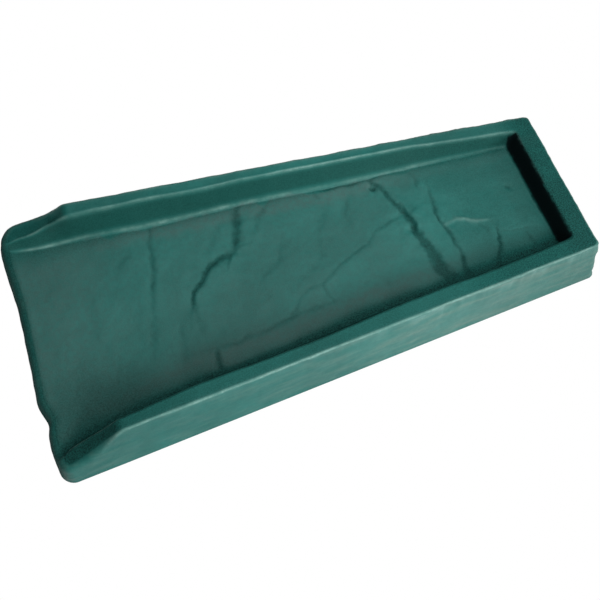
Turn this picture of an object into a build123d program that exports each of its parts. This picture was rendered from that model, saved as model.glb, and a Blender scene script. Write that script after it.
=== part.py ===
from build123d import *
import math
import os

# Splash block: a one-piece moulded plastic trough that carries roof water away from a downspout.
# X runs along it from the open mouth at -X to the closed back at +X, where the downspout empties.
# Y is across it and Z is up. The origin is under its middle, on the ground.
# It is a thin shell, open underneath: leaning skirts, a flat rim round three sides, and a floor
# that falls towards the mouth. Sizes are in millimetres, angles in degrees.

# Overall form
length = 616.0
mouth_width = 288.0
back_width = 203.0
height = 58.0
wall = 3.0
skirt_draft = 14.0
back_corner_radius = 8.0

# Flat rim round the two sides and the back
rim_at_mouth = 13.0
rim_at_back = 15.5
back_rim = 22.0

# Trough
trough_draft = 16.0
trough_corner_radius = 5.0
mouth_floor = 17.0
middle_floor = 22.9
back_floor = 37.2

# The side walls run down to the mouth along a hollow curve, and their feet spread there
ramp_length = 79.0
ramp_end_height = 18.3
ramp_radius = 140.0
ramp_brow_radius = 14.0
foot_flare = 7.5
stations = 40

# Riven lip across the mouth and round its corners: place from the middle line, and how far back
lip = [
    (146, 34),
    (143, 16),
    (137.5, 5.5),
    (128, 1),
    (109, 0.4),
    (78, 2.5),
    (36, 5),
    (-15, 5),
    (-63, 5),
    (-81, 10),
    (-93, 8.5),
    (-116, 9),
    (-127, 10.5),
    (-136.5, 15),
    (-141.5, 25),
    (-144.5, 42),
]

# Softened edges
foot_radius = 4.0
rim_radius = 3.0

skirt_lean = math.tan(math.radians(skirt_draft))
trough_lean = math.tan(math.radians(trough_draft))
front, back = -length / 2, length / 2
kink = front + ramp_length
trough_back = back - height * skirt_lean - back_rim
ramp = RadiusArc((kink, height), (front, ramp_end_height), ramp_radius)
past = height / 2
clear = 2.0


def half_width(x):
    """Half the block's width at the ground."""
    share = (x - front) / length
    return (mouth_width + (back_width - mouth_width) * share) / 2


def trough_half_width(x):
    """Half the trough's width at rim height."""
    share = (x - front) / (trough_back - front)
    return half_width(x) - height * skirt_lean - rim_at_mouth - (rim_at_back - rim_at_mouth) * share


def floor_height(x):
    """Height of the trough's floor: a parabola through its mouth, middle and back heights."""
    share = (x - front) / (trough_back - front)
    bow = 2 * (mouth_floor + back_floor - 2 * middle_floor)
    return mouth_floor + (back_floor - mouth_floor) * share - bow * share * (1 - share)


def ramp_height(x):
    """Height of the top of the side walls: level, then down the hollow curve."""
    if x >= kink:
        return height
    if x <= front:
        return ramp_end_height
    return ramp.arc_center.Y - math.sqrt(ramp_radius**2 - (x - ramp.arc_center.X) ** 2)


def upright(edge):
    """Whether an edge stands up along a corner, rather than lying along a face."""
    return abs((edge @ 1 - edge @ 0).normalized().Z) > 0.7


def block(inset):
    """The block with no trough and a straight mouth, smaller all round by inset."""
    start, end = front - length / 4, back - inset
    with BuildPart() as form:
        with BuildSketch():
            with BuildLine():
                Polyline(
                    (start, -half_width(start) + inset),
                    (end, -half_width(back) + inset),
                    (end, half_width(back) - inset),
                    (start, half_width(start) - inset),
                    close=True,
                )
            make_face()
        extrude(amount=height + past, taper=skirt_draft)
        back_corners = form.edges().filter_by(upright).sort_by(Axis.X)[-2:]
        fillet(back_corners, back_corner_radius - inset)
        with BuildSketch(Plane.XZ.offset(length)) as above:
            with BuildLine():
                Line((back + past, height), (kink, height))
                add(ramp)
                Polyline(
                    (front, ramp_end_height),
                    (front - length, ramp_end_height),
                    (front - length, height + length),
                    (back + past, height + length),
                    (back + past, height),
                )
            make_face()
            brow = above.vertices().filter_by(lambda v: abs(v.X - kink) < 1)
            fillet(brow, ramp_brow_radius)
            if inset:
                offset(amount=inset, kind=Kind.INTERSECTION)
        extrude(amount=-2 * length, mode=Mode.SUBTRACT)
    return form.part


def beyond_lip(inset):
    """All that lies in front of the riven lip, with the lip drawn back by inset."""
    with BuildPart() as beyond:
        for level in (-clear, height + past):
            step_back = front + inset + level * skirt_lean
            narrowing = 1 - 2 * (inset + level * skirt_lean) / mouth_width
            with BuildSketch(Plane.XY.offset(level)):
                with BuildLine():
                    edge = Spline(*[(step_back + back_off, place * narrowing) for place, back_off in lip])
                    Polyline(
                        edge @ 1,
                        ((edge @ 1).X, -length / 2),
                        (front - length, -length / 2),
                        (front - length, length / 2),
                        ((edge @ 0).X, length / 2),
                        edge @ 0,
                    )
                make_face()
        loft(ruled=True)
    return beyond.part


def trough(grow):
    """The space over the trough's floor, larger all round by grow."""
    mouth = front - wall
    end = trough_back + grow * math.hypot(1, trough_lean)
    with BuildPart() as space:
        for station in range(stations, -1, -1):
            x = mouth + (back - mouth) * station / stations
            flare = max((kink - x) / (kink - mouth), 0)
            top_y, top_z = trough_half_width(x), ramp_height(x)
            foot_y = top_y - (height - floor_height(x)) * trough_lean + foot_flare * flare**3
            lean = (top_y - foot_y) / (top_z - floor_height(x))
            out = grow * math.hypot(1, lean)
            low, high = floor_height(x) - grow - clear, top_z + clear
            low_y = foot_y + out - (grow + clear) * lean
            high_y = top_y + out + clear * lean
            with BuildSketch(Plane.YZ.offset(x)):
                with BuildLine():
                    Polyline((-low_y, low), (low_y, low), (high_y, high), (-high_y, high), close=True)
                make_face()
        loft()
        with BuildSketch(Plane.XZ.offset(mouth_width)):
            with BuildLine():
                Polyline(
                    (end - height * trough_lean, 0),
                    (end + past * trough_lean, height + past),
                    (back + past, height + past),
                    (back + past, 0),
                    close=True,
                )
            make_face()
        extrude(amount=-2 * mouth_width, mode=Mode.SUBTRACT)
        start, middle = front - past, (front - past + back) / 2
        start_z, middle_z, back_z = [floor_height(x) - grow for x in (start, middle, back)]
        with BuildSketch(Plane.XZ.offset(mouth_width)):
            with BuildLine():
                fall = Bezier((start, start_z), (middle, 2 * middle_z - (start_z + back_z) / 2), (back, back_z))
                Polyline(fall @ 1, (back, -past), (start, -past), fall @ 0)
            make_face()
        extrude(amount=-2 * mouth_width, mode=Mode.SUBTRACT)
        corners = space.edges().filter_by(upright).sort_by(Axis.X)[-2:]
        fillet(corners, trough_corner_radius + grow)
        floor = space.faces().filter_by(lambda face: face.normal_at().Z < -0.9)[0]
        feet = floor.edges().filter_by(lambda edge: edge.bounding_box().max.X > mouth + 1)
        fillet(feet, foot_radius + grow)
    return space.part


def brinks(part):
    """The sharp edges of the rim and of the ramps, without those at the lip."""
    tops = part.faces().filter_by(lambda face: face.normal_at().Z > 0.5)
    edges = tops.edges()
    single = edges.filter_by(lambda edge: sum(edge.is_same(other) for other in edges) == 1)
    high = single.filter_by(lambda edge: (edge @ 0.5).Z > ramp_height((edge @ 0.5).X) - rim_radius / 4)
    return high.filter_by(lambda edge: (edge @ 0.5).X > front + 0.45 * ramp_length)


with BuildPart() as hollow:
    add(block(wall))
    add(beyond_lip(wall), mode=Mode.SUBTRACT)
    add(trough(wall), mode=Mode.SUBTRACT)

with BuildPart() as splash_block:
    add(block(0))
    outer_edges = brinks(splash_block)
    fillet(outer_edges, rim_radius)
    add(beyond_lip(0), mode=Mode.SUBTRACT)
    add(trough(0), mode=Mode.SUBTRACT)
    inner_edges = brinks(splash_block)
    fillet(inner_edges, rim_radius)
    add(hollow.part, mode=Mode.SUBTRACT)

os.makedirs("parts", exist_ok=True)
splash_block.part.label = "splash_block"
export_step(splash_block.part, "parts/splash_block.step")
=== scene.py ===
import math

import bpy
import numpy as np
from mathutils import Matrix, Vector


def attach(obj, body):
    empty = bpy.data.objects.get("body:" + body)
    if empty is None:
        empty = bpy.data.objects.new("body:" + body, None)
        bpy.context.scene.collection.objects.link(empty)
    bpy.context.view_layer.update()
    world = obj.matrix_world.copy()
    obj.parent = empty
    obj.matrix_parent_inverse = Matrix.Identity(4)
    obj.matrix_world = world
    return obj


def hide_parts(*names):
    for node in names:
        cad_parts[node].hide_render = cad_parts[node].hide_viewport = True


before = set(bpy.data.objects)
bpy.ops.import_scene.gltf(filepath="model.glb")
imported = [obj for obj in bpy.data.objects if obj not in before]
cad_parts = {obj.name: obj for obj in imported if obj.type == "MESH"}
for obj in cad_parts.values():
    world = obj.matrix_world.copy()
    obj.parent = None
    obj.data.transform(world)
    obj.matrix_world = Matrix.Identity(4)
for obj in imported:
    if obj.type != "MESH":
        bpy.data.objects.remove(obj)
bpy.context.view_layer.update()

# The block is laid out in millimetres: X from the open mouth to the closed back, Y across it with
# the near side at -Y, Z up from the ground. Its mesh is turned into metres when it is made.
MM = 0.001
LENGTH = 616.0
FRONT, BACK = -LENGTH / 2, LENGTH / 2
HEIGHT = 58.0
SKIRT_LEAN = math.tan(math.radians(14))
WALL = 3.0
NEAR, FAR = -1, 1
# Half the width on the ground at the mouth, and how much of it is lost for each millimetre back
MOUTH_HALF, NARROWING = 144.0, 0.069

# The trough's floor: its length, its height at the mouth, its rise to the back and its sag between
FLOOR_LENGTH = 579.5
MOUTH_FLOOR, FLOOR_RISE, FLOOR_SAG = 17.0, 20.2, 16.8

# Ramps that the side walls run down to the mouth
KINK = FRONT + 79
RAMP_RADIUS = 140.0
RAMP_CENTRE = (-328.1, 156.8)
BROW = 4.5

# Back end of the trough
BACK_EDGE = 269.4
BACK_FOOT = 261.8

# Rounding of the outer top edge on the rim, and how much wider it grows on the ramps and the lip
RIM_ROUND = 3.4
LIP_ROUND = 4.4
LIP_HEIGHT = 18.0
MOUTH_INSET = LIP_HEIGHT * SKIRT_LEAN + RIM_ROUND + LIP_ROUND
BACK_INSET = HEIGHT * SKIRT_LEAN + RIM_ROUND
# Corners of the outline: which end, its place, inset at the top, radius at the ground and at the top
CORNERS = ((-1, FRONT, MOUTH_INSET, 15.0, 8.0), (1, BACK, BACK_INSET, 8.0, 5.0))
FAR_MOUTH_EXTRA = 7.0
# Where the sides start to bend towards those corners, and where the ragged lip ends on each side
BEND_START = 230.0
LIP_HALF = 130.0


# ---- Small helpers for curves and unevenness ----
def through(points, at):
    """A smooth curve through a few (place, value) points."""
    place, value = np.array(sorted(points), float).T
    slope = np.gradient(value, place)
    at = np.clip(np.asarray(at, float), place[0], place[-1])
    k = np.clip(np.searchsorted(place, at) - 1, 0, len(place) - 2)
    gap = place[k + 1] - place[k]
    t = (at - place[k]) / gap
    return (
        value[k] * (1 + 2 * t) * (1 - t) ** 2
        + value[k + 1] * t**2 * (3 - 2 * t)
        + gap * slope[k] * t * (1 - t) ** 2
        - gap * slope[k + 1] * t**2 * (1 - t)
    )


def smooth(low, high, value):
    """0 below low, 1 above high, and an easy rise between them."""
    t = np.clip((value - low) / (high - low), 0, 1)
    return t * t * (3 - 2 * t)


def hump(value, spread):
    """1 where the value is 0, falling off softly over the given spread."""
    return np.exp(-((value / spread) ** 2))


def rounded_rise(value, soft):
    """0 for negative values and the value itself for positive ones, with a bend soft wide."""
    bend = (value + soft) ** 2 / (4 * soft)
    return np.where(value <= -soft, 0, np.where(value >= soft, value, bend))


def uneven(u, v, size, seed):
    """Smooth random unevenness between about -1 and 1, with lumps of the given size."""
    turns = np.random.default_rng(seed).uniform(0, 2 * math.pi, (64, 64))
    u, v = np.asarray(u, float) / size, np.asarray(v, float) / size
    iu, iv = np.floor(u).astype(int), np.floor(v).astype(int)
    fu, fv = u - iu, v - iv

    def corner(du, dv):
        turn = turns[(iu + du) % 64, (iv + dv) % 64]
        return np.cos(turn) * (fu - du) + np.sin(turn) * (fv - dv)

    eu, ev = fu**3 * (fu * (6 * fu - 15) + 10), fv**3 * (fv * (6 * fv - 15) + 10)
    near_row = corner(0, 0) * (1 - eu) + corner(1, 0) * eu
    far_row = corner(0, 1) * (1 - eu) + corner(1, 1) * eu
    return 1.5 * (near_row * (1 - ev) + far_row * ev)


def ledges(along, size, seed):
    """Unevenness along an edge that keeps a level for a while and then steps, as split stone does."""
    level = uneven(along, 0.37 * size, size, seed) * 2
    return (np.round(level) * 0.6 + level * 0.4) / 2


# ---- Where the parts of the block lie ----
# Inner edge of the rim: place along the block, distance from the middle line
NEAR_EDGE = [
    (-300, 131), (-293, 128), (-288, 122), (-280, 117.2), (-269, 114.6), (-257, 112.7), (-246, 112),
    (-231, 111), (-203, 108.3), (-154, 102.2), (-104, 99.5), (-52, 96.5), (1, 92.2), (56, 86.2),
    (113, 82), (172, 78.8), (232, 73.7), (272, 69.5),
]
FAR_EDGE = [
    (-300, 116), (-290, 116.8), (-283, 117), (-277, 115.7), (-265, 114.4), (-253, 113.9), (-241, 111.8),
    (-228, 108.9), (-195, 107.2), (-140, 104.5), (-87, 100.4), (-32, 98.6), (24, 94.8), (81, 92.2),
    (140, 87.2), (188, 80.8), (237, 75.9), (272, 71.6),
]
# Foot of the trough's walls
NEAR_FOOT = [
    (-300, 129), (-293, 125.5), (-286, 119), (-275, 112.5), (-257, 107), (-246, 104.5), (-231, 101),
    (-203, 97.8), (-154, 91.5), (-52, 86.2), (56, 76.6), (172, 71), (267, 64.4),
]
FAR_FOOT = [
    (-302, 110), (-290, 106), (-275, 103), (-259, 101.4), (-232, 100.6), (-205, 99), (-152, 93.4),
    (-96, 91.4), (-39, 88.4), (18, 83.8), (76, 79), (106, 77.2), (136, 75.6), (197, 72), (267, 66.2),
]
# Riven lip: distance from the middle line, how far back it stands
LIP = [
    (130, 1), (109, 0.4), (97, 1.2), (78, 2.5), (57, 4.4), (36, 5), (-15, 5), (-41, 4.2), (-63, 5),
    (-74, 8), (-81, 10), (-93, 8.5), (-116, 9), (-130, 11),
]


def half_base(x):
    """Half the block's width on the ground."""
    return MOUTH_HALF - NARROWING * (x - FRONT)


def top_height(x):
    """The rim's height, and the ramp's hollow curve towards the mouth."""
    drop_place = np.clip(x, FRONT - 12, KINK)
    ramp = RAMP_CENTRE[1] - np.sqrt(RAMP_RADIUS**2 - (drop_place - RAMP_CENTRE[0]) ** 2)
    ramp = ramp + np.maximum(x - KINK, 0)
    return HEIGHT - rounded_rise(HEIGHT - ramp, BROW)


def outer_round(x):
    """Radius of the outer top edge."""
    return RIM_ROUND + LIP_ROUND * smooth(KINK + 4, KINK - 24, x)


def lip_offset(y):
    """How far back the riven lip stands."""
    y = np.clip(y, -LIP_HALF, LIP_HALF)
    ragged = 0.7 * uneven(y, 0, 17, 5) + 0.5 * ledges(y, 23, 6)
    return through(LIP, y) + ragged * smooth(132, 118, np.abs(y))


def floor_height(x):
    """Height of the floor's smooth mean surface."""
    share = (x - FRONT) / FLOOR_LENGTH
    return MOUTH_FLOOR + FLOOR_RISE * share - FLOOR_SAG * share * (1 - share)


# ---- Relief of the trough's floor ----
# Each cleft: its path on the floor, its width at the start and at the end, how deep it is cut, how
# high the floor stands on its back side, and how far that step reaches. A cut below 0 is a ridge.
CLEFTS = [
    ([(-53, 91), (-59, 76), (-63, 61), (-66, 50), (-74, 38)], 4.0, 4.2, 0.45, 1.7, 20),
    ([(-74, 38), (-87, 35), (-102, 30), (-111, 20), (-121, 11), (-127, 6), (-131, -6)],
     4.6, 2.2, 1.0, 1.3, 18),
    ([(-131, -6), (-132, -16), (-131, -28), (-129, -42)], 2.0, 4.5, 0.4, 0.5, 14),
    ([(-151, 97), (-155, 78), (-158, 57), (-162, 38), (-169, 10)], 2.4, 3.5, 0.5, 0.5, 14),
    ([(-169, 10), (-177, -22), (-182, -45)], 4, 5, 0.35, 0.35, 16),
    ([(28, 82), (52, 80), (75, 77), (100, 77)], 1.6, 2.2, 0.8, -0.5, 7),
    ([(31, 80), (33, 74), (36, 70)], 3.0, 2.0, 0.7, 0.3, 6),
    ([(94, 78), (98, 70), (104, 66), (109, 51), (115, 33), (121, 18)], 3.4, 3.0, 0.8, 1.2, 16),
    ([(118, 22), (121, 12), (124, -2)], 4.6, 4.2, 1.2, 1.4, 12),
    ([(121, 14), (122, 4), (125, -13), (129, -32), (132, -52), (135, -74)], 3.2, 8.5, 1.2, 2.2, 24),
    ([(143, 72), (145, 62), (145, 48)], 3.4, 2.4, 0.5, 0.5, 9),
    ([(154, 33), (151, 13), (152, -3), (156, -24), (158, -42)], 1.6, 2.2, 0.6, 1.5, 15),
    ([(158, -42), (155, -57), (155, -75)], 2.2, 6, 0.9, 1.2, 15),
    ([(155, -4), (171, -1), (180, -6), (190, -12), (202, -13)], 1.8, 2.2, -0.6, 0.3, 10),
    ([(190, -11), (195, -23), (193, -40)], 3, 3.5, 0.3, 0.5, 10),
    ([(208, -27), (200, -47), (192, -62), (190, -76)], 1.8, 3.6, 1.0, 1.1, 10),
    ([(119, 23), (99, 19), (79, 12), (65, 2), (43, -7), (24, -15), (3, -27), (-13, -29), (-24, -34)],
     1.5, 2.2, 0.3, 0.5, 22),
    ([(3, -27), (4, -40), (9, -52)], 1.8, 2.0, 0.55, 0.2, 7),
    ([(-24, -34), (-31, -44), (-42, -53)], 2.2, 2.6, 0.45, 0.3, 8),
    ([(-147, -59), (-124, -61), (-98, -61), (-66, -57), (-42, -53), (-13, -50), (7, -49)],
     3, 2.4, 0.4, -0.5, 18),
    ([(-122, -63), (-125, -74), (-123, -87)], 2.4, 3.8, 1.0, 0.6, 10),
    ([(-182, 66), (-191, 62), (-194, 53)], 3.0, 2.5, 0.2, 0.3, 8),
    ([(-147, -20), (-153, -47), (-157, -65)], 3.6, 4.5, 0.3, 0.2, 10),
    ([(211, -32), (229, -35), (248, -37)], 2.4, 2.4, 0.3, 0.7, 9),
    ([(235, -36), (236, -47), (239, -61)], 2.4, 3.4, 0.5, 0.4, 8),
    ([(238, 20), (243, 17)], 3, 3, 0.7, 0.0, 5),
    ([(-75, 79), (-91, 60), (-103, 40)], 4, 5, 0.25, 0.35, 16),
    ([(-20, 84), (-38, 70), (-44, 58)], 3, 4, 0.4, 0.4, 14),
    ([(39, 60), (19, 30), (13, 5), (-7, -11)], 3, 4, 0.25, 0.4, 20),
    ([(69, 66), (55, 46), (58, 28)], 3, 3, 0.25, 0.35, 14),
    ([(-237, 69), (-229, 30), (-233, -10), (-223, -59)], 5, 6, 0.15, 0.3, 20),
    ([(-90, 10), (-60, -8), (-52, -29)], 4, 5, 0.2, 0.35, 20),
    ([(-20, 40), (-34, 12), (-60, -2)], 3, 4, 0.25, 0.35, 16),
    ([(60, -20), (70, -46), (66, -66)], 4, 4, 0.2, 0.35, 16),
]
# A dimple by the far wall: its place, its spread and how deep it is
DIMPLE = (97, 65, 3.4, 2.4)


def cleft_relief(x, y):
    """How far the clefts move the floor, how deep in a cleft and how high on a ridge each place is."""
    relief, depth, ridge = np.zeros_like(x), np.zeros_like(x), np.zeros_like(x)
    x = x + 1.8 * uneven(x, y, 19, 11) + 1.1 * uneven(x, y, 7, 12) + 0.45 * uneven(x, y, 3.4, 15)
    y = y + 1.8 * uneven(x, y, 19, 13) + 1.1 * uneven(x, y, 7, 14) + 0.45 * uneven(x, y, 3.4, 16)
    ragged = 1 + 0.35 * uneven(x, y, 11, 17) + 0.25 * uneven(x, y, 5, 18)
    for path, first, last, cut, step, reach in CLEFTS:
        path = np.array(path, float)
        total = len(path) - 1
        nearest, side, place = np.full_like(x, 1e9), np.zeros_like(x), np.zeros_like(x)
        for k in range(total):
            a, b = path[k], path[k + 1]
            run = b - a
            t = np.clip(((x - a[0]) * run[0] + (y - a[1]) * run[1]) / (run @ run), 0, 1)
            off_x, off_y = x - a[0] - t * run[0], y - a[1] - t * run[1]
            gap = np.hypot(off_x, off_y)
            closer = gap < nearest
            nearest = np.where(closer, gap, nearest)
            back_side = np.sign(off_x * -run[1] + off_y * run[0])
            side = np.where(closer, back_side, side)
            place = np.where(closer, (k + t) / total, place)
        width = (first + (last - first) * place) * ragged
        ends = smooth(0, 0.2, place) * smooth(1, 0.85, place)
        fade = (0.55 + 0.45 * ends) * (0.85 + 0.35 * uneven(x, y, 14, 19))
        groove = hump(nearest, width) * fade
        bank = side * (1 - hump(nearest, width)) * hump(nearest, reach)
        relief += step * 0.7 * bank * fade - 1.3 * cut * groove
        depth = np.maximum(depth, groove * min(cut + abs(step) * 0.4, 1.6) / 1.6)
        ridge = np.maximum(ridge, groove * -cut)
    dent = np.exp(-((x - DIMPLE[0]) ** 2 + (y - DIMPLE[1]) ** 2) / DIMPLE[2] ** 2)
    return relief - DIMPLE[3] * dent, np.maximum(depth, dent), ridge


def floor_relief(x, y):
    """The floor's whole riven relief, with the marks of its clefts and ridges."""
    broad = 1.0 * uneven(x, y * 1.3, 95, 21) + 0.7 * uneven(x, y, 46, 22)
    slabs = 0.6 * np.abs(uneven(x + 0.4 * y, y, 62, 23)) + 0.3 * uneven(x, y, 21, 24)
    grit = 0.13 * uneven(x, y, 9, 25) + 0.06 * uneven(x, y, 4.2, 26)
    cut, depth, ridge = cleft_relief(x, y)
    return broad + slabs + grit + cut, depth, ridge


# ---- The block's skin as one grid over the top and one band round the skirts ----
def rows_along():
    """Places of the grid's rows, from the lip to the back of the rim."""
    lip = [0, 0.9, 1.9, 3]
    return np.concatenate(
        [
            FRONT + MOUTH_INSET + np.array(lip),
            np.linspace(FRONT + MOUTH_INSET + 4.5, BACK_FOOT - 6, 350),
            np.linspace(BACK_FOOT - 4.8, BACK_EDGE + 3.4, 15),
            np.linspace(BACK_EDGE + 4.8, BACK - BACK_INSET, 12),
        ]
    )


# The grid's columns as shares of the way over the rim, down a wall and across the floor, closer
# together where the surface bends
SPREAD = {
    "rim": np.array([0, 0.1, 0.22, 0.36, 0.5, 0.64, 0.76, 0.86, 0.94]),
    "wall": np.array([0, 0.06, 0.13, 0.21, 0.3, 0.42, 0.54, 0.66, 0.76, 0.84, 0.9, 0.95]),
    "floor": np.concatenate(
        [[0, 0.003, 0.007, 0.013, 0.021], np.linspace(0.031, 0.969, 92), [0.979, 0.987, 0.993, 0.997, 1]]
    ),
}


def wavy(along, side):
    """Unevenness of the rim's inner edge."""
    return 0.55 * uneven(along, 40 * side, 34, 31) + 0.3 * uneven(along, 9 * side, 13, 32)


def side_lines(x, side):
    """Distances from the middle line of the rim's outer rounding, its inner edge and the wall's foot."""
    edge = through(NEAR_EDGE if side == NEAR else FAR_EDGE, x) + wavy(x, side)
    foot = through(NEAR_FOOT if side == NEAR else FAR_FOOT, x) + 0.6 * wavy(x + 900, side)
    outer = half_base(x) - top_height(x) * SKIRT_LEAN - outer_round(x)
    edge = np.minimum(edge, outer - 2.2 - 6 * smooth(KINK - 40, KINK, x))
    return outer, edge, np.minimum(foot, edge - 2.4)


def across(x):
    """The columns' distances from the middle line, from the near rim to the far one, for each row."""
    lines = {side: side_lines(x, side) for side in (NEAR, FAR)}
    columns = []
    for side in (NEAR, FAR):
        outer, edge, foot = lines[side]
        rim = [outer + (edge - outer) * share for share in SPREAD["rim"]]
        wall = [edge + (foot - edge) * share for share in SPREAD["wall"]]
        strip = [side * line for line in rim + wall]
        columns.append(strip if side == NEAR else strip[::-1])
    near_foot, far_foot = -lines[NEAR][2], lines[FAR][2]
    floor = [near_foot + (far_foot - near_foot) * share for share in SPREAD["floor"]]
    return np.array(columns[0] + floor + columns[1]).T


def round_corner(x, y, corner_x, corner_y, size, toward):
    """Bends a square corner of the grid into a round one. Toward is +1 at the back and -1 at the mouth."""
    u = np.clip((x - corner_x) * toward / size, 0, None)
    v = np.clip((np.abs(y) - corner_y) / size, 0, None)
    both = (u > 0) & (v > 0)
    u, v = np.minimum(u, 1), np.minimum(v, 1)
    new_x = corner_x + toward * size * u * np.sqrt(1 - v * v / 2)
    new_y = np.sign(y) * (corner_y + size * v * np.sqrt(1 - u * u / 2))
    return np.where(both, new_x, x), np.where(both, new_y, y)


def corner_place(toward, y, at_top):
    """Where a corner's rounding starts, along and across, and its radius."""
    end, inset, low, high = CORNERS[toward > 0][1:]
    size = (high if at_top else low) + FAR_MOUTH_EXTRA * ((y > 0) & (toward < 0))
    corner_x = end - toward * (inset * at_top + size)
    return corner_x, half_base(corner_x) - inset * at_top - size, size


def bend_corners(x, y, at_top):
    """Rounds the outline's four corners, at the ground or at the inner side of the top rounding."""
    for toward in (-1, 1):
        x, y = round_corner(x, y, *corner_place(toward, y, at_top), toward)
    return x, y


def down_to_ground(x, y):
    """The place on the ground's outline that belongs to a place on the top's square outline."""
    low_x, low_y = np.copy(x), np.copy(y)
    for toward, limit in ((-1, -BEND_START), (1, BEND_START)):
        end, inset = CORNERS[toward > 0][1:3]
        top_x, top_y, top_size = corner_place(toward, y, True)
        base_x, base_y, base_size = corner_place(toward, y, False)
        rim_end = end - toward * inset
        between = limit + (x - limit) / (top_x - limit) * (base_x - limit)
        beyond = base_x + (x - top_x) / (rim_end - top_x) * (end - base_x)
        past_limit = x * toward > limit * toward
        low_x = np.where(past_limit, np.where(x * toward > top_x * toward, beyond, between), low_x)
        inside = np.abs(y) / top_y * base_y
        outside = base_y + (np.abs(y) - top_y) / top_size * base_size
        at_end = np.abs(x - rim_end) < 0.01
        low_y = np.where(at_end, np.sign(y) * np.where(np.abs(y) > top_y, outside, inside), low_y)
    along_side = (np.abs(x - (FRONT + MOUTH_INSET)) > 0.01) & (np.abs(x - (BACK - BACK_INSET)) > 0.01)
    return low_x, np.where(along_side, np.sign(y) * half_base(low_x), low_y)


def lip_warp(x, y):
    """Sets the rows near the mouth back by the riven lip."""
    return x + lip_offset(y) * (1 - smooth(FRONT + 4, FRONT + 70, x))


def shape_top(x, y):
    """Height of the rim, walls and floor, with the marks that colour them."""
    lines = {side: side_lines(x, side) for side in (NEAR, FAR)}
    edge = np.where(y < 0, lines[NEAR][1], lines[FAR][1])
    foot = np.where(y < 0, lines[NEAR][2], lines[FAR][2])
    up_side = (np.abs(y) - foot) / (edge - foot)
    back_edge = BACK_EDGE + 0.6 * uneven(y, 3, 30, 41) + 0.25 * uneven(y, 3, 12, 42)
    back_foot = BACK_FOOT + 0.4 * uneven(y, 8, 34, 43)
    up_back = (x - back_foot) / (back_edge - back_foot)
    # Level is 0 at the foot of the nearest wall and 1 at its upper edge
    level = np.maximum(up_side, up_back)
    level = level + hump(up_side - up_back, 0.35) * 0.12 * smooth(-1, 0, level)
    relief, depth, ridge = floor_relief(x, y)
    on_floor = 1 - smooth(-0.25, 0.2, level)
    bed = floor_height(x) + relief * on_floor
    rise = top_height(x) - bed
    soft_foot = np.clip(1.5 / (edge - foot), 0.1, 0.6)
    soft_edge = np.clip(1.7 / (edge - foot), 0.1, 0.5)
    share = rounded_rise(level, soft_foot) - rounded_rise(level - 1, soft_edge)
    facets = 0.5 * uneven(x, np.abs(y) * 2.2, 24, 44) * smooth(0, 0.4, level) * smooth(1.1, 0.6, level)
    hewn = 0.45 * uneven(x, y, 38, 45) + 0.25 * uneven(x, y, 15, 46) + 0.06 * uneven(x, y, 5, 47) - 0.45
    z = bed + rise * share + facets * np.minimum(rise / 30, 1) + hewn * smooth(0.9, 1.3, level)
    # These marks carry painted highlights on the upper edges, the ridges and the far wall's foot, painted
    # shade in the clefts, the dimple, on the back wall and by the walls, and painted sheen with the dust
    crest_highlight = painted_crest_highlight(x, y, rise, (level - 1.0) / (0.55 * soft_edge))
    marks = {
        "painted_highlight": np.maximum(crest_highlight, ridge * on_floor),
        "root": painted_foot_highlight(x, y, rise, level),
        "cleft_shade": depth * on_floor,
        "wall_level": np.clip(level, -2, 2),
        "back_wall_shade": painted_back_shade(y, up_back, up_side),
        "painted_shade": painted_shade(x, y, level, up_back, foot),
        "dust_and_sheen": dust_and_sheen(x, y, foot),
    }
    return z, marks


def painted_crest_highlight(x, y, rise, from_crest):
    """Painted highlight: a pale line along the walls' upper edge, strong on the far side and down its ramp.
    """
    on_ramp = smooth(KINK + 4, KINK - 10, x)
    strength = np.where(y > 0, 0.75 + 0.3 * on_ramp, 0.15 + 0.75 * on_ramp)
    patchy = 0.75 + 0.5 * uneven(x, y, 26, 70)
    return hump(from_crest, 1) * smooth(1.5, 9, rise) * strength * patchy


def painted_foot_highlight(x, y, rise, level):
    """Painted highlight: a pale line along the far wall's foot, fading towards both ends."""
    line = hump(level - 0.07, 0.08) * smooth(1, 10, rise) * smooth(-3, 3, y)
    patchy = 0.75 + 0.5 * uneven(x, y, 30, 71)
    back_fade = (0.5 + 0.4 * smooth(60, -80, x)) * smooth(262, 250, x)
    return line * patchy * back_fade * (0.45 + 0.55 * smooth(-298, -262, x))


def painted_back_shade(y, up_back, up_side):
    """Painted shade: the inside of the back wall painted nearly black, with ragged borders."""
    height = up_back + 0.05 * uneven(y, 2, 9, 48) + 0.05 * uneven(y, 5, 4, 49)
    return smooth(-0.12, 0.12, height) * smooth(1.15, 0.95, height) * smooth(0.85, 0.55, up_side)


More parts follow.
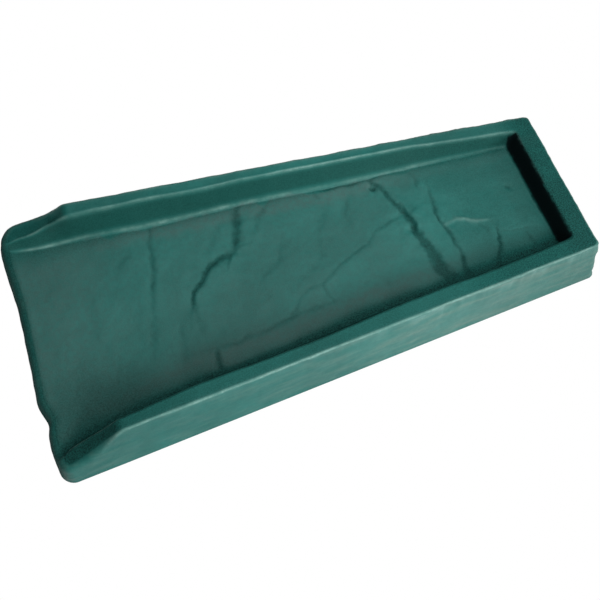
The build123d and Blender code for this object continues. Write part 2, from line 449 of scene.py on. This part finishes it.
def painted_shade(x, y, level, up_back, foot):
    """Painted shade and shadow: darker by the walls' feet, on the ramps, the lip, the back of the rim and
    the near rim, in the low corner by the mouth and towards the back.
    """
    from_foot = np.clip(foot - np.abs(y), 0, None) / (1 + 0.3 * uneven(x, 0, 44, 72))
    on_floor = 1 - smooth(0.4, 0.9, level)
    # Painted shadow of the near wall on the floor beside its foot
    near_foot = 0.8 * hump(from_foot, 5.5 + 5.5 * smooth(-130, 60, x))
    near_foot = near_foot + (0.18 + 0.2 * smooth(-50, -150, x)) * hump(from_foot, 24)
    near_foot = near_foot * smooth(0, -20, y) * on_floor
    # Painted shade on the floor beside the far wall's foot
    far_reach = 5 + 9 * smooth(-120, -250, x)
    far_foot = 0.45 * np.exp(-((from_foot / far_reach) ** 1.5)) * smooth(0, 20, y)
    far_foot = far_foot * (1 - smooth(-0.2, 0.05, level))

    on_rim = smooth(0.9, 1.15, level)
    from_outside = half_base(x) - top_height(x) * SKIRT_LEAN - 2 - np.abs(y)
    # Painted shade on the ramps, darkest on the near one
    ramps = np.where(y < 0, 0.88 * smooth(1.0, 1.6, level), 0.42)
    ramps = ramps * on_rim * smooth(KINK + 3, KINK - 5, x) * smooth(0, 9, from_outside)
    patchy = 0.3 * smooth(0.1, 0.6, uneven(x, y, 15, 73)) * on_rim * smooth(KINK, KINK - 6, x) * (y > 0)
    # Painted shade over the lip
    lip = 0.75 * smooth(13, 2, x - FRONT - lip_offset(y) - 4)
    # Painted shade on the back of the rim
    beside = smooth(-3, 6, np.abs(y) - foot)
    back_rim = 0.72 * (smooth(0.9, 1.2, up_back) * (1 - beside) + smooth(-2.5, 3, up_back) * beside)
    # Painted shade in the low corner by the near side of the mouth
    low_corner = 0.4 * np.exp(-(((x + 250) / 70) ** 2) - ((y + 80) / 45) ** 2)
    # Painted shade: darker towards the back, and on the near side of the rim
    back_floor = 0.26 * smooth(110, 200, x) + 0.48 * on_rim * (y < 0)

    unshaded = 1
    for shade_paint in (near_foot, far_foot, ramps + patchy, lip, back_rim, low_corner, back_floor):
        unshaded = unshaded * (1 - shade_paint)
    return np.clip(1 - unshaded, 0, 0.9)


def dust_and_sheen(x, y, foot):
    """Grey dust with painted sheen, a pale veil for reflected light, in a ragged band beside the walls and
    over the mouth end.
    """
    from_foot = foot - np.abs(y) + 5 * uneven(x, y, 30, 74) + 3 * uneven(x, y, 11, 75)
    near_band = 0.65 * smooth(200, 60, x) * hump(from_foot - 19, 9) * (y < 0)
    far_band = (0.3 + 0.6 * smooth(160, 60, x)) * smooth(-300, -120, x) * (y > 0)
    far_band = far_band * smooth(0.5, 3, from_foot) * smooth(24, 9, from_foot)
    mouth = 0.5 * smooth(-170, -270, x) * smooth(2, 24, from_foot)
    patches = (0.33 + 0.15 * smooth(0.15, 0.6, uneven(x, y, 55, 76))) * smooth(190, 60, x)
    bands = np.maximum(np.maximum(near_band, far_band), mouth)
    return np.clip(bands + patches, 0, 1) * smooth(-1, 2, from_foot)


def grid_faces(numbers):
    """Quads of a grid of vertex numbers."""
    corners = (numbers[:-1, :-1], numbers[1:, :-1], numbers[1:, 1:], numbers[:-1, 1:])
    return np.stack(corners, -1).reshape(-1, 4)


def numbered(shape, start=0):
    """Vertex numbers of a grid, row by row from start."""
    return start + np.arange(shape[0] * shape[1]).reshape(shape)


def ring(grid):
    """The outermost vertices of a grid: near side, back, far side, lip."""
    return np.concatenate([grid[:-1, 0], grid[-1, :-1], grid[:0:-1, -1], grid[0, :0:-1]])


# Top of the block
row_x = rows_along()
flat_y = across(row_x)
rows, columns = flat_y.shape
flat_x = np.repeat(row_x[:, None], columns, 1)
top_x, top_y = bend_corners(flat_x, flat_y, True)
top_x = lip_warp(top_x, top_y)
top_z, top_marks = shape_top(top_x, top_y)
top_points = np.stack([top_x, top_y, top_z], -1)

# Outline on the ground, one place for each vertex round the top
base_x, base_y = bend_corners(*down_to_ground(ring(flat_x), ring(flat_y)), False)
ground = np.stack([lip_warp(base_x, base_y), base_y], -1)
inner_ring = np.stack([ring(top_x), ring(top_y), ring(top_z)], -1)
count = len(ground)
around = np.cumsum(np.hypot(*(ground - np.roll(ground, 1, 0)).T))
ring_round = outer_round(ring(flat_x))
inward = (inner_ring[:, :2] - ground) / (inner_ring[:, 2] * SKIRT_LEAN + ring_round)[:, None]
lip_side = smooth(KINK - 4, KINK - 30, ground[:, 0])
back_side = smooth(288, 302, ground[:, 0])

# Skirts: from the ground up the lean, then over the rounded top edge to the top's outermost vertices
brink_z = inner_ring[:, 2] + 0.1
brink = ground + inward * (brink_z * SKIRT_LEAN)[:, None]
chips = (0.55 * ledges(around, 27, 51) + 0.35 * uneven(around, 0, 9, 52) + 0.25) * (1 - 0.5 * lip_side)
chips = chips * (1 + smooth(40, 130, ground[:, 0]))
soft = np.clip(ring_round + 0.9 * uneven(around, 4, 40, 53), 2.2, None)
# Patches of painted highlight along the near skirt's upper edge, towards the back
highlight_patches = smooth(0, 110, ground[:, 0]) * (ground[:, 1] < -90)
highlight_patches = highlight_patches * smooth(-0.1, 0.5, uneven(around, 3, 24, 54))
band = []
band_highlight = []
for share in (0, 0.03, 0.1, 0.19, 0.28, 0.37, 0.46, 0.55, 0.64, 0.73, 0.82, 0.9, 1):
    height = (brink_z - soft) * share
    streak_u, streak_v = around * 0.9 + height * 0.9, height * 1.6 - around * 0.35
    hewn = 0.8 * uneven(streak_u, streak_v * 1.5, 33, 61)
    hewn = hewn + 0.5 * uneven(streak_u * 0.6, streak_v * 2, 11, 62)
    hewn = hewn + 0.45 * ledges(streak_v + 0.2 * around, 19, 63) - 0.6
    hewn = hewn * smooth(0, 0.12, share) * (1 - 0.4 * lip_side)
    depth_in = height * SKIRT_LEAN - hewn + (chips + 0.2) * share**3
    place = ground + inward * depth_in[:, None]
    band.append(np.column_stack([place, height]))
    band_highlight.append(0.7 * smooth(0.78, 1, share) * highlight_patches)
start_bend = band[-1]
corner = np.column_stack([brink + inward * (chips * 0.6)[:, None], brink_z])
for share in (0.16, 0.32, 0.48, 0.64, 0.82):
    bend = start_bend * (1 - share) ** 2 + corner * 2 * share * (1 - share) + inner_ring * share**2
    band.append(bend)
    # Painted highlight on the rounded outer top edge, faint at the lip and the back
    band_highlight.append(hump(share - 0.55, 0.3) * (1 - 0.9 * lip_side) * (1 - 0.75 * back_side))
band = np.array(band)

# Hollow underneath: the top and the skirts again, a wall's thickness further in and coarser
COARSE = 5
top_numbers = numbered((rows, columns))
pick_rows = np.unique(np.append(np.arange(0, rows, COARSE), rows - 1))
pick_columns = np.unique(np.append(np.arange(0, columns, COARSE), columns - 1))
picked = np.ix_(pick_rows, pick_columns)
under = top_points[picked]
run_x, run_y = np.gradient(under, axis=0), np.gradient(under, axis=1)
facing = np.cross(run_x, run_y)
facing /= np.linalg.norm(facing, axis=2)[..., None]
under = under - facing * WALL
under_ring = ring(under)
order = {number: k for k, number in enumerate(ring(top_numbers))}
chosen = np.array([order[number] for number in ring(top_numbers[picked])])
inner_band = []
for share in (0, 0.25, 0.5, 0.75):
    height = np.maximum(under_ring[:, 2] - 1.5, 2) * share
    place = ground[chosen] + inward[chosen] * (height * SKIRT_LEAN + WALL)[:, None]
    inner_band.append(np.column_stack([place, height]))
inner_band = np.array(inner_band)


def closed_strip(lower, upper):
    """Quads between two closed loops of vertex numbers."""
    return np.stack([lower, np.roll(lower, -1), np.roll(upper, -1), upper], -1)


def sole_faces(outer_loop, inner_loop):
    """The flat lower edge on the ground, between the skirts' outside and the coarser inside."""
    faces = []
    for k in range(len(chosen)):
        here, after = chosen[k], chosen[(k + 1) % len(chosen)]
        span = (after - here) % count
        outer = [int(outer_loop[(here + step) % count]) for step in range(span + 1)]
        faces.append(outer[::-1] + [int(inner_loop[k]), int(inner_loop[(k + 1) % len(chosen)])])
    return faces


def wear_and_light_values():
    """The marks of the top and of the band, by name."""
    from_outside = half_base(top_x) - top_height(top_x) * SKIRT_LEAN - np.abs(top_y)
    # Painted highlight along the rim's outer top edge
    outer_edge_highlight = 0.8 * hump(from_outside, 2.8) * smooth(KINK - 6, KINK + 2, top_x)
    on_top = dict(top_marks, skirt=np.zeros((rows, columns)))
    on_top["painted_highlight"] = np.maximum(top_marks["painted_highlight"], outer_edge_highlight)
    # Painted shade on the skirts: darker where they face the mouth and towards the back
    shade_paint = 0.6 * smooth(0.5, 0.9, inward[:, 0]) + 0.36 * smooth(60, 300, ground[:, 0])
    on_band = {"painted_highlight": np.array(band_highlight), "wall_level": 2.0, "skirt": 1.0, "painted_shade": shade_paint}
    return {name: (values, on_band.get(name, 0.0)) for name, values in on_top.items()}


def build_skin():
    """Joins the parts into one mesh and gives its vertices their wear values and painted light and shade.
    """
    grids = [top_points, band, under, inner_band]
    starts = np.cumsum([0] + [grid.shape[0] * grid.shape[1] for grid in grids])
    top, loops, below, inner = [numbered(grid.shape[:2], start) for grid, start in zip(grids, starts)]
    faces = [grid_faces(top)[:, ::-1]]
    for lower, upper in zip(loops[:-1], loops[1:]):
        faces.append(closed_strip(lower, upper))
    faces.append(closed_strip(loops[-1], ring(top)))
    faces.append(grid_faces(below))
    for lower, upper in zip(inner[:-1], inner[1:]):
        faces.append(closed_strip(upper, lower))
    faces.append(closed_strip(ring(below), inner[-1]))

    points = np.concatenate([grid.reshape(-1, 3) for grid in grids])
    # The near side curves in a little at the mouth, and nothing stands above the rim's height
    near_mouth = smooth(-235, -290, points[:, 0]) * (points[:, 1] < 0)
    points[:, 1] *= 1 - 0.0068 * near_mouth
    points[:, 2] = np.minimum(points[:, 2], HEIGHT)
    points *= MM
    mesh = bpy.data.meshes.new("splash_block_skin")
    mesh.from_pydata(points.tolist(), [], np.concatenate(faces).tolist() + sole_faces(loops[0], inner[0]))
    hidden = np.zeros(len(points) - starts[2])
    for name, (on_top, on_band) in wear_and_light_values().items():
        on_band = np.zeros(loops.shape) + on_band
        values = np.concatenate([on_top.ravel(), on_band.ravel(), hidden])
        layer = mesh.attributes.new(name, "FLOAT", "POINT")
        layer.data.foreach_set("value", values.astype(np.float32))
    mesh.update()
    mesh.validate()
    mesh.shade_smooth()
    mesh.set_sharp_from_angle(angle=math.radians(62))
    skin = bpy.data.objects.new("splash_block_skin", mesh)
    bpy.context.scene.collection.objects.link(skin)
    return skin


# ---- Green plastic ----
class Wire:
    """One output of a shader node, with arithmetic on it."""

    def __init__(self, tree, socket):
        self.tree, self.socket = tree, socket

    def node(self, kind, settings, *inputs):
        made = self.tree.nodes.new(kind)
        for name, value in settings.items():
            setattr(made, name, value)
        for name, value in inputs:
            self.feed(made.inputs[name], value)
        return made

    def feed(self, socket, value):
        if isinstance(value, Wire):
            self.tree.links.new(value.socket, socket)
        else:
            socket.default_value = value

    def math(self, operation, *values, clamp=False):
        made = self.node("ShaderNodeMath", {"operation": operation, "use_clamp": clamp}, *enumerate(values))
        return Wire(self.tree, made.outputs[0])

    def __add__(self, other):
        return self.math("ADD", self, other)

    def __radd__(self, other):
        return self.math("ADD", other, self)

    def __sub__(self, other):
        return self.math("SUBTRACT", self, other)

    def __rsub__(self, other):
        return self.math("SUBTRACT", other, self)

    def __mul__(self, other):
        return self.math("MULTIPLY", self, other)

    def __rmul__(self, other):
        return self.math("MULTIPLY", other, self)

    def between(self, low, high):
        made = self.node(
            "ShaderNodeMapRange",
            {"interpolation_type": "SMOOTHSTEP"},
            ("Value", self), ("From Min", low), ("From Max", high),
        )
        return Wire(self.tree, made.outputs[0])

    def tint(self, below, above):
        made = self.node("ShaderNodeMix", {"data_type": "RGBA"}, ("Factor", self), (6, below), (7, above))
        return Wire(self.tree, made.outputs[2])


def mixed_surface(tree, factor, first, second, output):
    """Feeds an output with a mix of two shaders."""
    mix = Wire(tree, None).node("ShaderNodeMixShader", {}, ("Fac", factor))
    tree.links.new(first.outputs[0], mix.inputs[1])
    tree.links.new(second.outputs[0], mix.inputs[2])
    tree.links.new(mix.outputs[0], tree.nodes[output].inputs["Surface"])


# Colours of the plastic, of what lies on it, and of the painted shade, highlights and sheen
DEEP_GREEN, CLEAR_GREEN = (0.008, 0.112, 0.098, 1), (0.012, 0.155, 0.136, 1)
MOTTLE_GREEN, SPECK_GREEN = (0.006, 0.06, 0.05, 1), (0.03, 0.17, 0.145, 1)
SKIRT_STREAK, SKIRT_SHEEN_GREY = (0.085, 0.19, 0.16, 1), (0.14, 0.215, 0.182, 1)
WALL_SHADE_GREEN, HIGHLIGHT_GREEN = (0.004, 0.05, 0.042, 1), (0.2, 0.37, 0.33, 1)
DUST_SHEEN_GREY, CLEFT_SHADE_DARK, SHADE_DARK = (0.07, 0.12, 0.113, 1), (0.004, 0.03, 0.027, 1), (0.004, 0.024, 0.022, 1)
SHADE_BLACK = (0.001, 0.004, 0.005, 1)


def green_plastic():
    """Moulded green plastic with dust, painted highlights on its edges, painted sheen, and painted shade in
    the clefts, by the walls and on the back wall.
    """
    material = bpy.data.materials.new("green_plastic")
    material.use_nodes = True
    tree = material.node_tree
    shader = tree.nodes["Principled BSDF"]
    start = Wire(tree, None)
    place = Wire(tree, start.node("ShaderNodeTexCoord", {}).outputs["Object"])

    def worn(name):
        return Wire(tree, start.node("ShaderNodeAttribute", {"attribute_name": name}).outputs["Fac"])

    def grain(scale, detail, roughness=0.55, stretch=None):
        spot = place
        if stretch:
            turned = start.node(
                "ShaderNodeMapping", {}, ("Vector", place), ("Rotation", stretch[0]), ("Scale", stretch[1])
            )
            spot = Wire(tree, turned.outputs[0])
        made = start.node(
            "ShaderNodeTexNoise", {},
            ("Vector", spot), ("Scale", scale), ("Detail", detail), ("Roughness", roughness),
        )
        return Wire(tree, made.outputs["Fac"])

    painted_highlight, foot_highlight_line, cleft_shade, dust_sheen = [worn(name) for name in ("painted_highlight", "root", "cleft_shade", "dust_and_sheen")]
    wall_level, skirt, back_wall_shade = worn("wall_level"), worn("skirt"), worn("back_wall_shade")
    shaded = worn("painted_shade")
    specks = grain(800, 3, 0.7).between(0.3, 0.7)
    mottle = grain(210, 4, 0.65).between(0.35, 0.65)
    colour = grain(11, 4).between(0.36, 0.66).tint(DEEP_GREEN, CLEAR_GREEN)
    # Dust with painted sheen: a grey veil standing in for light reflected off the floor
    colour = (dust_sheen * (0.35 + 0.3 * mottle + 0.2 * specks)).tint(colour, DUST_SHEEN_GREY)
    streaks = grain(60, 5, 0.6, ((0, 0.5, 0.0), (0.35, 1, 2.6))).between(0.42, 0.72)
    colour = (skirt * streaks * 0.5).tint(colour, SKIRT_STREAK)
    along = Wire(tree, start.node("ShaderNodeSeparateXYZ", {}, ("Vector", place)).outputs["X"])
    # Painted sheen: the skirts greyer and paler towards the back
    colour = (skirt * along.between(-0.16, 0.2) * (0.26 + 0.45 * streaks)).tint(colour, SKIRT_SHEEN_GREY)
    # Painted shade: the walls' faces darker
    wall_shade = wall_level.between(0.05, 0.35) * (1 - wall_level.between(0.75, 1.0))
    colour = (wall_shade * 0.82).tint(colour, WALL_SHADE_GREEN)
    scuffs = grain(45, 5, 0.7).between(0.35, 0.65)
    # Painted highlights along the upper edges, on the ridges and along the far wall's foot
    colour = ((painted_highlight + foot_highlight_line * 1.1) * (0.45 + 0.6 * scuffs)).tint(colour, HIGHLIGHT_GREEN)
    # Painted shade in the clefts and the dimple
    colour = (cleft_shade.between(0.03, 0.8) * (0.6 + 0.25 * mottle)).tint(colour, CLEFT_SHADE_DARK)
    # Painted shade and shadow by the walls, on the ramps, the lip and the back of the rim
    colour = (shaded * (1.25 - 0.6 * specks)).tint(colour, SHADE_DARK)
    colour = (mottle * 0.2).tint(colour, MOTTLE_GREEN)
    colour = (specks * 0.36).tint(colour, SPECK_GREEN)
    # Painted shade: the inside of the back wall nearly black
    colour = (back_wall_shade * 0.97).tint(colour, SHADE_BLACK)
    shader.inputs["Specular IOR Level"].default_value = 0.28
    start.feed(shader.inputs["Base Color"], colour)
    start.feed(shader.inputs["Roughness"], 0.4 + 0.12 * grain(34, 3) + 0.1 * dust_sheen - 0.1 * painted_highlight)
    fine = grain(700, 3) * 0.5 + grain(160, 4)
    bump = start.node("ShaderNodeBump", {}, ("Strength", 0.22), ("Distance", 0.0006), ("Height", fine))
    start.feed(shader.inputs["Normal"], Wire(tree, bump.outputs[0]))
    # Painted shade, the black-painted back wall and the painted shade in the clefts take the gloss away
    dull = start.node(
        "ShaderNodeBsdfPrincipled", {},
        ("Base Color", colour), ("Roughness", 0.8), ("Specular IOR Level", 0.06),
    )
    unshaded = (1 - shaded.between(0.1, 0.7)) * (1 - back_wall_shade) * (1 - 0.7 * cleft_shade.between(0.1, 0.7))
    mixed_surface(tree, 1 - unshaded, shader, dull, "Material Output")
    return material


skin = build_skin()
skin.data.materials.append(green_plastic())
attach(skin, "root")
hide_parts("splash_block")


# ---- Floor, light and camera ----
def seen_by_camera(tree):
    return Wire(tree, Wire(tree, None).node("ShaderNodeLightPath", {}).outputs["Is Camera Ray"])


def pale_floor():
    """White in the picture, and plain pale ground for the light that falls on it."""
    reach, drop = 6.0, 0.0004
    mesh = bpy.data.meshes.new("studio_floor")
    corners = [(-reach, -reach), (reach, -reach), (reach, reach), (-reach, reach)]
    mesh.from_pydata([(x, y, -drop) for x, y in corners], [], [(0, 1, 2, 3)])
    floor = bpy.data.objects.new("studio_floor", mesh)
    bpy.context.scene.collection.objects.link(floor)
    material = bpy.data.materials.new("pale_floor")
    material.use_nodes = True
    tree = material.node_tree
    matt = tree.nodes["Principled BSDF"]
    matt.inputs["Base Color"].default_value = (0.82, 0.82, 0.82, 1)
    matt.inputs["Roughness"].default_value = 0.9
    glow = Wire(tree, None).node("ShaderNodeEmission", {}, ("Color", (1, 1, 1, 1)), ("Strength", 1.0))
    mixed_surface(tree, seen_by_camera(tree), matt, glow, "Material Output")
    mesh.materials.append(material)


def soft_light(name, place, aim, size, power):
    """An area light at a place, in metres, turned towards another place."""
    light = bpy.data.lights.new(name, "AREA")
    light.shape = "RECTANGLE"
    light.size, light.size_y = size
    light.energy = power
    lamp = bpy.data.objects.new(name, light)
    lamp.location = place
    lamp.rotation_euler = (Vector(aim) - Vector(place)).to_track_quat("-Z", "Y").to_euler()
    bpy.context.scene.collection.objects.link(lamp)


def studio():
    """The floor, a dim world that looks white, and three soft lamps."""
    pale_floor()
    world = bpy.data.worlds.new("studio_white")
    bpy.context.scene.world = world
    world.use_nodes = True
    tree = world.node_tree
    dim = tree.nodes["Background"]
    dim.inputs["Color"].default_value = (1, 1, 1, 1)
    dim.inputs["Strength"].default_value = 0.02
    white = Wire(tree, None).node("ShaderNodeBackground", {}, ("Color", (1, 1, 1, 1)), ("Strength", 1.0))
    mixed_surface(tree, seen_by_camera(tree), dim, white, "World Output")
    soft_light("ceiling_panel", (0.85, -1.1, 1.1), (0.85, -1.1, 0), (2.7, 3.6), 40)
    soft_light("edge_light", (0.25, -1.15, 0.8), (0, 0, 0), (0.4, 0.25), 6)
    soft_light("raking_light", (1.1, -0.9, 0.5), (0, 0, 0), (0.3, 0.3), 9)


def photo_camera():
    """The photograph's view: a lens of 42 mm from above the near side of the mouth."""
    right = Vector((0.940722, -0.331137, 0.07342))
    up = Vector((0.277765, 0.876349, 0.393522))
    back = Vector((-0.194651, -0.349801, 0.916379))
    camera = bpy.data.cameras.new("photo_camera")
    camera.sensor_width = 36
    camera.lens = 42
    camera.clip_start = 0.01
    holder = bpy.data.objects.new("photo_camera", camera)
    turn = Matrix((right, up, back)).transposed()
    holder.matrix_world = Matrix.Translation((-0.166495, -0.291923, 0.689484)) @ turn.to_4x4()
    bpy.context.scene.collection.objects.link(holder)
    bpy.context.scene.camera = holder


studio()
photo_camera()
bpy.context.scene.view_settings.view_transform = "Standard"
